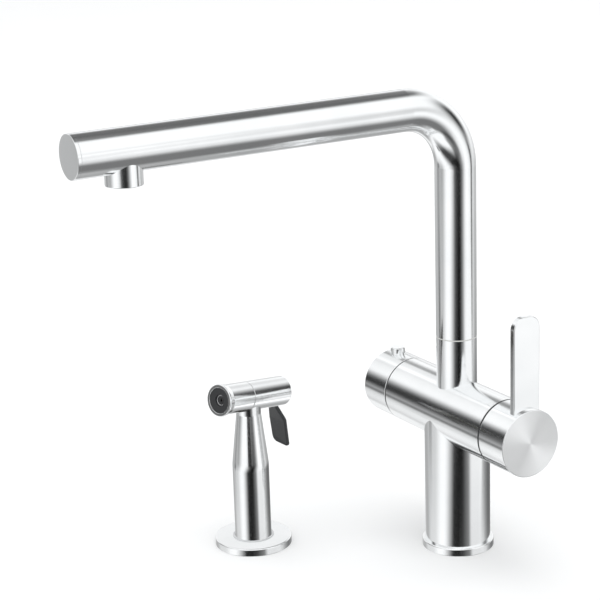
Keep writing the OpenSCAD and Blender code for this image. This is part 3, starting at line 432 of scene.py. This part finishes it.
def spokes(axes, steps):
    """Unit vectors cos(t) e1 + sin(t) e2 at even turns t, as an array (steps, 1, 3)."""
    angle = np.linspace(0, 2 * math.pi, steps, endpoint=False)[:, None, None]
    return np.cos(angle) * axes[0] + np.sin(angle) * axes[1]


def turned(corners, foot=(0.0, 0.0, 0.0), axes=UPRIGHT, closed=True, steps=TURN_STEPS):
    """A profile of radii r and heights h turned about e3: the foot, plus r times each spoke, plus h e3.

    A closed profile joins its last point to its first. An open one starts and ends on the axis."""
    profile = rounded(corners)
    grid = np.array(foot) + profile[:, :1] * spokes(axes, steps) + profile[:, 1:] * axes[2]
    return grid.reshape(-1, 3), grid_faces(steps, len(profile), True, closed)


print("helpers for turned surfaces are ready")

# %% [markdown]
# ## From points to a piece
# The points of a piece may come as several sheets that meet along their edges. They are merged there,
# the faces are turned outward, and the shading is smooth except over real edges. Where a hole was
# drilled through a turned part, the same hole is cut here with an exact boolean.


# %% Helpers: pieces, second finishes and cuts
SMOOTH_BELOW = math.radians(32.0)
MERGE = 2e-7  # metres
ON_LEVEL = 1e-6  # metres


def surface(name, sheets):
    """A closed mesh from sheets of (points in mm, quads)."""
    starts = np.cumsum([0] + [len(points) for points, _ in sheets[:-1]])
    mesh = bpy.data.meshes.new(name)
    mesh.from_pydata(np.concatenate([points for points, _ in sheets]) * MM, [],
                     np.concatenate([quads + start for (_, quads), start in zip(sheets, starts)]))
    work = bmesh.new()
    work.from_mesh(mesh)
    bmesh.ops.remove_doubles(work, verts=work.verts, dist=MERGE)
    bmesh.ops.recalc_face_normals(work, faces=work.faces)
    work.to_mesh(mesh)
    work.free()
    return mesh


def shade(mesh):
    """Smooth shading, with sharp edges where faces turn by more than a limit."""
    mesh.shade_smooth()
    mesh.set_sharp_from_angle(angle=SMOOTH_BELOW)


def piece(name, sheets, slot, body, *stands_for):
    """A named piece that rides on a body, has its slot's finish and stands for CAD nodes."""
    mesh = surface(name, sheets)
    mesh.materials.append(FINISHES[slot])
    made = bpy.data.objects.new(name, mesh)
    bpy.context.scene.collection.objects.link(made)
    shade(mesh)
    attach(made, body)
    if stands_for:
        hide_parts(*stands_for)
    print(name, len(mesh.polygons), "faces on", body)
    return made


def cut(made, sheets):
    """Takes the volume inside closed sheets out of a piece."""
    cutter = bpy.data.objects.new("cutter", surface("cutter", sheets))
    bpy.context.scene.collection.objects.link(cutter)
    boolean = made.modifiers.new("cut", "BOOLEAN")
    boolean.solver = "EXACT"
    boolean.object = cutter
    done = made.evaluated_get(bpy.context.evaluated_depsgraph_get())
    mesh = bpy.data.meshes.new_from_object(done)
    made.modifiers.clear()
    old = made.data
    made.data = mesh
    mesh.name = made.name
    bpy.data.meshes.remove(old)
    bpy.data.meshes.remove(cutter.data)
    shade(mesh)


def finish_face(made, finish, towards, level):
    """Gives the flat faces at a level (mm) along a direction a second finish."""
    mesh = made.data
    mesh.materials.append(finish)
    middle = np.empty(len(mesh.polygons) * 3)
    mesh.polygons.foreach_get("center", middle)
    at_level = np.abs(middle.reshape(-1, 3) @ towards - level * MM) < ON_LEVEL
    mesh.polygons.foreach_set("material_index", at_level.astype(np.int32))


print("helpers for pieces are ready")

# %% [markdown]
# ## Lever hub and blade
# The hub is turned from bar, bored out to run over the cartridge nut, and faced last: the facing tool
# leaves fine rings, so its end mirrors the tent as a light fan and not as a plain mirror. A narrow lip
# at its foot leaves room for a black ring of painted shade in the seam. The flat blade stands in a
# milled slot, and its corners and edges are rounded by hand on a polishing wheel.


# %% A plate with rounded edges, and the lever
CROSS_R, CROSS_Z, CROSS_HALF, SEAM = 23.0, 99.5, 55.0, 0.6
HUB_X = CROSS_HALF + SEAM
HUB_LEN = 26.9
HUB_BORE_R = 19.5
LIP_R, LIP_LEN = 22.15, 0.75
HUB_SCREW_X = 67.7
SCREW_R, SCREW_LOW, SCREW_HIGH, SCREW_STEPS = 2.55, -24, -4, 32
BLADE_X = (74.0, 78.5)
BLADE_HALF, BLADE_TOP, BLADE_ROOT = 10.4, 185.5, 113.5
BLADE_CORNER, BLADE_EDGE = 8.0, 0.55
EDGE_STEPS = 5


def plate(left, right, thickness, edge, place, columns=10):
    """A plate between two chains of edge points (x, s) that meet at its tip.

    Each ring of the rim is the outline moved inward by m d, where m is the sum of the normals beside a
    point over one plus their product. Over the turn p of the edge, d = e (1 - cos p) and the height is
    t / 2 - e + e sin p. place carries (x, s, height) to the object's axes."""
    chain = np.concatenate((left, right[-2::-1]))
    step = np.roll(chain, -1, 0) - chain
    normal = np.stack((-step[:, 1], step[:, 0]), -1) / np.linalg.norm(step, axis=1)[:, None]
    swept = chain[:, 0] @ np.roll(chain[:, 1], -1) - chain[:, 1] @ np.roll(chain[:, 0], -1)
    before = np.roll(normal, 1, 0)
    inward = (normal + before) / (1 + np.sum(normal * before, 1))[:, None] * np.sign(swept)
    across = np.linspace(0, 1, columns)[1:-1, None]
    turn = np.linspace(0, math.pi / 2, EDGE_STEPS)
    moved = np.concatenate(([0.0], edge * (1 - np.cos(turn)), [edge + GUARD]))
    height = thickness / 2 - edge + np.concatenate(([-GUARD], edge * np.sin(turn), [edge]))
    rings = []
    for d, h in [*zip(moved[::-1], -height[::-1]), *zip(moved, height)]:
        rim = chain + d * inward
        ring = np.concatenate((rim, rim[-1] + across * (rim[0] - rim[-1])))
        rings.append(place(ring[:, 0], ring[:, 1], np.full(len(ring), h)))
    sheets = [(np.concatenate(rings), grid_faces(len(rings), len(ring), False, True))]
    low, high = rim[:len(left)], rim[:len(left) - 2:-1]
    cap = low[:, None] + np.linspace(0, 1, columns)[:, None] * (high - low)[:, None]
    for side in (-1, 1):
        level = np.full(cap.size // 2, side * thickness / 2)
        face = place(cap[..., 0].ravel(), cap[..., 1].ravel(), level)
        sheets.append((face, grid_faces(len(left), columns, False, False)))
    return sheets


def hub_outside(edge):
    """Corners from the bore over the lip and the outside to the middle of the end face."""
    return [(HUB_BORE_R, 0, 0.3), (LIP_R, 0, 0.1), (LIP_R, LIP_LEN), (CROSS_R, LIP_LEN, edge),
            (CROSS_R, HUB_LEN, 0.45), (0, HUB_LEN)]


def screw_hole(x):
    """A grub screw's hole at x, from below the underside up to near the cross body's axis."""
    return [turned([(0, SCREW_LOW), (SCREW_R, SCREW_LOW), (SCREW_R, SCREW_HIGH), (0, SCREW_HIGH)],
                   (x, 0, CROSS_Z), closed=False, steps=SCREW_STEPS)]


def blade_place(x, s, height):
    """The blade's width runs along y, its length upward, and its height along x from its middle."""
    return np.stack((sum(BLADE_X) / 2 + height, x, s), -1)


hub = piece("lever_hub_turned", [turned(
    [(0, 15.6), (7.15, 15.6), (7.15, 8.6), (HUB_BORE_R, 8.6), *hub_outside(0.4)],
    (HUB_X, 0, CROSS_Z), TO_RIGHT, closed=False)], "chrome", "mixer_lever", "lever_hub")
cut(hub, screw_hole(HUB_SCREW_X))
finish_face(hub, spun_chrome, (1, 0, 0), HUB_X + HUB_LEN)
blade_sides = [rounded([(side * BLADE_HALF, BLADE_ROOT), (side * BLADE_HALF, BLADE_TOP, BLADE_CORNER),
                        (0, BLADE_TOP)]) for side in (-1, 1)]
piece("lever_blade_polished", plate(*blade_sides, BLADE_X[1] - BLADE_X[0], BLADE_EDGE, blade_place),
      "chrome", "mixer_lever", "lever_blade")

# %% [markdown]
# ## Filter knob and its pin
# The knob on the other end has the hub's diameter and length, so the two ends look alike. A small
# turned pin on its upper side shows how far it has been turned. Thin black rings run in the seams
# beside the cross body and out over the lips. They are painted shade, which makes each seam a dark
# line 1.1 mm wide.

# %% Knob, pin and the painted-shade rings in the seams
KNOB_SCREW_X, PIN_X, PIN_R, PIN_LOW, PIN_TOP = -66.7, -73, 5.2, 121.0, 127.0
# Sizes of the black seam rings, which are painted shade in the seams
RING_HALF, RING_BORE_R, RING_R = 0.28, 19.95, 22.85
RING_LIP_END, RING_LIP_BORE_R = 0.85, 22.35

knob = piece("filter_knob_turned", [turned(
    [(0, 19.1), (3.1, 19.1), (3.1, 5), (7, 5), (7, 14.6), (HUB_BORE_R, 14.6), *hub_outside(0.45)],
    (-HUB_X, 0, CROSS_Z), TO_LEFT, closed=False)], "chrome", "filter_control", "filter_knob")
cut(knob, screw_hole(KNOB_SCREW_X))
finish_face(knob, spun_chrome, (-1, 0, 0), HUB_X + HUB_LEN)
piece("filter_knob_pin", [turned([(0, PIN_LOW), (PIN_R, PIN_LOW), (PIN_R, PIN_TOP, 0.6), (0, PIN_TOP)],
                                 (PIN_X, 0, 0), closed=False, steps=SMALL_TURN_STEPS)],
      "chrome", "filter_control", "knob_pin")
# Each seam ring is painted shade: a black ring that darkens the seam between the cross body and its ends
for side, axes in (("right", TO_RIGHT), ("left", TO_LEFT)):
    middle = CROSS_HALF + SEAM / 2
    piece("seam_shade_ring_" + side, [turned(
        [(RING_BORE_R, -RING_HALF), (RING_R, -RING_HALF), (RING_R, RING_LIP_END),
         (RING_LIP_BORE_R, RING_LIP_END), (RING_LIP_BORE_R, RING_HALF), (RING_BORE_R, RING_HALF)],
        axes[2] * middle + [0, 0, CROSS_Z], axes)], "black_plastic", "mixer_body")

# %% [markdown]
# ## Base ring, spray holder and the threads below the worktop
# The flat rings that cover the worktop's holes have softly rounded rims, and a groove below them holds
# the seal. Below, fine threads are cut on the shank and on the holder's tube for the fixing nuts, so
# their ridges are real: the radius follows a triangle wave of height against turn.


# %% Rings, and threaded tubes
SPRAY = (-85.0, -118.5, 0.0)
THREAD_PITCH, THREAD_DEPTH = 1.5, 0.8
THREAD_STEPS, ROWS_TO_A_PITCH = 96, 10
FLANK, FLAT_ROOT = 1.5, 0.2


def threaded(radius, bore, low, high, foot=(0.0, 0.0, 0.0)):
    """A tube whose radius is the thread's root plus its depth times w.

    With f the fraction of height over pitch less turn over a full turn, w is the flank's slope times
    one less the size of 2 f - 1, less the flat root, and clipped to 0..1. It fades to the root within
    one pitch of each end."""
    height = np.arange(low, high + THREAD_PITCH / (2 * ROWS_TO_A_PITCH), THREAD_PITCH / ROWS_TO_A_PITCH)
    height[-1] = high
    part = (height / THREAD_PITCH - np.arange(THREAD_STEPS)[:, None] / THREAD_STEPS) % 1
    fade = np.clip(np.minimum(height - low, high - height) / THREAD_PITCH, 0, 1)
    ridge = np.clip(FLANK * (1 - np.abs(2 * part - 1)) - FLAT_ROOT, 0, 1) * fade
    r = np.pad(radius - THREAD_DEPTH + THREAD_DEPTH * ridge, ((0, 0), (1, 1)), constant_values=bore)
    h = np.pad(height, 1, mode="edge")
    grid = np.array(foot) + r[..., None] * spokes(UPRIGHT, THREAD_STEPS) + h[:, None] * UPRIGHT[2]
    return grid.reshape(-1, 3), grid_faces(THREAD_STEPS, len(h))


piece("base_ring_turned", [turned(
    [(16.55, 0), (20.1, 0), (20.1, 1.5), (24.1, 1.5), (24.1, 0, 0.15), (25.1, 0, 0.3),
     (25.1, 5.5, 0.8), (16.55, 5.5)])], "chrome", "mixer_body", "base_ring")
piece("spray_flange_turned", [turned(
    [(14.15, 0), (22.2, 0), (22.2, 1.5), (26.2, 1.5), (26.2, 0, 0.15), (27.2, 0, 0.3),
     (27.2, 5.4, 0.8), (14.15, 5.4, 0.2)], SPRAY)], "chrome", "mixer_body", "spray_holder")
piece("spray_holder_thread", [threaded(16.2, 14.15, -52.0, 0.0, SPRAY)], "chrome", "mixer_body",
      "spray_holder")
piece("shank_thread", [threaded(16.5, 13.2, -60.0, 15.5)], "brass", "mixer_body", "mounting_shank")
piece("holder_collar", [turned(
    [(9.7, -34.1), (14.1, -34.1, 0.3), (14.1, 5.4), (14.6, 5.4), (14.6, 6.3, 0.35), (13.1, 6.3, 0.35),
     (13.1, -32.1), (9.7, -32.1)], SPRAY)], "collar_plastic", "mixer_body", "holder_insert")

# %% [markdown]
# ## The spout's end
# A turned disc closes the tube, and its seam is hardly to be seen. The outlet below is a short turned
# socket that the aerator screws into, with a crisp lower rim.

# %% End cap and outlet
CAP_FOOT = (0, -275.6, 314.5)
OUTLET_FOOT = (0, -243, 0)
piece("spout_cap_turned", [turned(
    [(0, -4), (12.45, -4), (12.45, 0), (14.0, 0, 0.12), (14.0, 2.4, 0.35), (0, 2.4)],
    CAP_FOOT, TO_FRONT, closed=False)], "chrome", "spout", "spout_end_cap")
piece("outlet_socket", [turned(
    [(10.1, 293.1, 0.25), (11.8, 293.1, 0.4), (11.8, 307.37), (8.5, 307.37), (8.5, 303.15),
     (10.1, 303.15)], OUTLET_FOOT)], "chrome", "spout", "aerator_socket")

# %% [markdown]
# ## The hand spray's grip
# The grip is one turned shell: straight up to the bend, then a straight taper into the head. Its upper
# end is milled to sit on the head's round side, a saddle whose height is where an upright line meets
# the head's cylinder.

# %% Grip with its saddle
HEAD_FOOT = np.array([-85.0, -118.5, 110.1])
HEAD_TURN, HEAD_TILT = math.radians(17.0), math.radians(-8.8)
turn_z = np.array([[math.cos(HEAD_TURN), -math.sin(HEAD_TURN), 0],
                   [math.sin(HEAD_TURN), math.cos(HEAD_TURN), 0], [0, 0, 1]])
tilt_x = np.array([[1, 0, 0], [0, math.cos(HEAD_TILT), -math.sin(HEAD_TILT)],
                   [0, math.sin(HEAD_TILT), math.cos(HEAD_TILT)]])
HEAD_AXES = (turn_z @ tilt_x).T
ALONG_HEAD = HEAD_AXES[[0, 2, 1]]
SADDLE_R = 10.55


def saddle_height(out):
    """The lower root z of |d|^2 - (d a)^2 = R^2 for d = out + z, with a the head's axis."""
    a = HEAD_AXES[1]
    square, lean = 1 - a[2] ** 2, (out @ a) * a[2]
    rest = np.sum(out * out, -1) - (out @ a) ** 2 - SADDLE_R ** 2
    return HEAD_FOOT[2] + (lean - np.sqrt(lean ** 2 - square * rest)) / square


spoke = spokes(UPRIGHT, TURN_STEPS)
# Outside from the spigot's bore to the head, where the last corner only gives the arc before it its way
outer = rounded([(7.07, -17), (7.07, -32, 0.3), (12.9, -32, 0.6), (12.9, 60, 50), (8.7, 97.6, 4),
                 (8.7, 98)])[:-1]
saddle_r = np.array([8.7, 8.6, 7.5, 6.4, 5.45])
saddle_z = saddle_height(saddle_r[:, None] * spoke)
inner = np.array([(5.45, 56), (10.5, 56), (10.5, -16), (5.45, -16), (5.45, -17)])
grip_r = np.concatenate((outer[:, 0], saddle_r, inner[:, 0]))
outer_z, inner_z = [np.broadcast_to(part[:, 1], (TURN_STEPS, len(part))) for part in (outer, inner)]
grip_z = np.concatenate((outer_z, saddle_z, inner_z), 1)
grip = np.array(SPRAY) + grip_r[:, None] * spoke + grip_z[..., None] * UPRIGHT[2]
piece("spray_grip", [(grip.reshape(-1, 3), grid_faces(TURN_STEPS, len(grip_r)))], "chrome", "handset",
      "spray_handle")

# %% [markdown]
# ## The spray's head
# Two thin shells meet over the grip, and a black gasket between them is partly painted shade that makes
# their seam dark. The front shell flares into a rim that holds the black spray face. A steel ring sits
# in the middle of the face, round a black insert with the jet's hole, whose black is painted shade in
# the recess. The rear shell has a slot below for the trigger's neck.


# %% Head shells, painted-shade gasket, face and jet
SLOT_X, SLOT_Y, SLOT_Z = (-4.3, 4.3), (20.4, 30.2), (-12.0, -4.5)
BOX_FACES = np.array([(0, 1, 3, 2), (4, 6, 7, 5), (0, 4, 5, 1), (2, 3, 7, 6), (0, 2, 6, 4),
                      (1, 5, 7, 3)])


def head_piece(name, corners, slot, *stands_for, **options):
    """A piece of the hand spray whose profile is turned about the head's axis."""
    return piece(name, [turned(corners, HEAD_FOOT, ALONG_HEAD, **options)], slot, "handset", *stands_for)


rear = head_piece("spray_head_rear_shell",
                  [(0, 33), (9.2, 33), (9.2, -3.2), (10.5, -3.2, 0.25), (10.5, 34.5, 0.8), (0, 34.5)],
                  "chrome", "spray_head_rear", closed=False)
slot_corners = np.array([(x, y, z) for x in SLOT_X for y in SLOT_Y for z in SLOT_Z])
cut(rear, [(HEAD_FOOT + slot_corners @ HEAD_AXES, BOX_FACES)])
head_piece("spray_head_front_shell",
           [(9.2, -3.4), (10.5, -3.4, 0.25), (10.5, -24.0, 1.5), (11.2, -27.6, 0.5), (11.2, -29, 0.45),
            (8.95, -29, 0.2), (8.95, -28.45), (9.65, -28.45), (9.65, -25.3), (9.2, -25.3)],
           "chrome", "spray_head_front")
# The gasket is partly painted shade: its black in the gap between the shells keeps their seam dark
head_piece("spray_head_shade_gasket", [(9.25, -3.39), (10.4, -3.39), (10.4, -3.21), (9.25, -3.21)],
           "black_plastic")
head_piece("spray_face_disc", [(4.05, -25.4), (4.05, -28.4, 0.35), (9.6, -28.4), (9.6, -25.4)],
           "black_plastic", "spray_face")
head_piece("jet_ring", [(3.1, -25.4), (3.1, -27.2, 0.3), (4.0, -27.2, 0.4), (4.0, -25.4)],
           "steel", "jet_nozzle", steps=SMALL_TURN_STEPS)
# The black insert is painted shade: it darkens the recess round the jet's hole inside the steel ring
head_piece("jet_shade_insert", [(1.1, -25.4), (1.1, -26.3, 0.2), (3.1, -26.6), (3.1, -25.4)],
           "black_plastic", "jet_nozzle", steps=SMALL_TURN_STEPS)

# %% [markdown]
# ## The trigger
# The trigger is a moulded lever: two arms beside the valve rod, a narrow neck through the head's slot,
# and a bowed paddle under the fingers. The paddle's centre line is an arc of 58 mm, and the neck goes on
# from it with the same direction on an arc of 14 mm.

# %% Trigger
TRIGGER_TOP = np.array([26.4, -9.4])
TOP_ANGLE = math.radians(38.0)
PADDLE_BOW, NECK_BOW = 58.0, 14.0
PADDLE_THICK, PADDLE_EDGE = 2.8, 0.75
ARM_THICK, ARM_EDGE, ARM_OUT = 2.1, 0.3, 2.95
top_way = np.array([math.cos(TOP_ANGLE), math.sin(TOP_ANGLE)])


def bow_place(x, s, height):
    """Carries (x, s, height) onto the bow, in the head's axes.

    In the y-z plane it is the bow's centre plus (b + height) along the angle a0 - s / b, where b is the
    neck's bow for s below 0 and the paddle's above."""
    bow = np.where(s < 0, NECK_BOW, PADDLE_BOW)
    angle = TOP_ANGLE - s / bow
    way = np.stack((np.cos(angle), np.sin(angle)), -1)
    flat = TRIGGER_TOP - bow[:, None] * top_way + (bow + height)[:, None] * way
    return HEAD_FOOT + np.column_stack((x, flat)) @ HEAD_AXES


def arm_place(middle):
    """The place function of an arm whose middle is at x = middle in the head's axes."""
    def place(y, z, height):
        """Carries (y, z, height) into the head's axes."""
        return HEAD_FOOT + np.stack((middle + height, y, z), -1) @ HEAD_AXES
    return place


# The paddle's two sides as (x, s), from its neck to its slanted tip, which has unequal corners
paddle = [rounded([(side * 4, -6.9), (side * 4, 0), (side * 4, 1.9, 3), (side * 7.4, 12.6, 6),
                   (side * 7.4, end, corner), (0, 32.4)])
          for side, end, corner in ((-1, 31.4, 5.4), (1, 33.4, 1.6))]
# An arm's two sides as (y, z), from its wide eye at the trigger's pin up to its nose beside the rod
arm = [rounded([(21 + side * 0.1, -7.2), (21 + side * 2.0, -7.2, 1.8), (21 + side * 1.4, 1.4, 1.2),
                (21, 1.4)]) for side in (-1, 1)]
piece("spray_trigger_bowed", plate(*paddle, PADDLE_THICK, PADDLE_EDGE, bow_place)
      + plate(*arm, ARM_THICK, ARM_EDGE, arm_place(ARM_OUT), 4)
      + plate(*arm, ARM_THICK, ARM_EDGE, arm_place(-ARM_OUT), 4),
      "black_plastic", "trigger", "spray_trigger")

# %% [markdown]
# ## What the mirrors may see
# In the photograph, neither the hand spray nor the lever's blade shows in the mixer's polished faces.
# The floor isn't mirrored, so a tube would also mirror the fixing parts through it, which a real
# worktop hides. Both groups are left out of reflections.

# %% Leave pieces out of the mirrors
NOT_IN_THE_MIRRORS = ["lever_blade_polished", "spray_grip", "spray_head_rear_shell",
                      "spray_head_front_shell", "spray_trigger_bowed", "spray_flange_turned",
                      "holder_collar"]
BELOW_THE_WORKTOP = ["shank_thread", "shank_rubber_washer", "shank_steel_washer", "shank_nut",
                     "spray_holder_thread", "holder_washer", "holder_nut", "hose_coupling",
                     "coupling_o_ring", "base_seal", "holder_seal"]
for name in NOT_IN_THE_MIRRORS + BELOW_THE_WORKTOP:
    (frame["nodes"].get(name) or bpy.data.objects[name]).visible_glossy = False
print("left out of the mirrors:", len(NOT_IN_THE_MIRRORS), "above and", len(BELOW_THE_WORKTOP), "below")
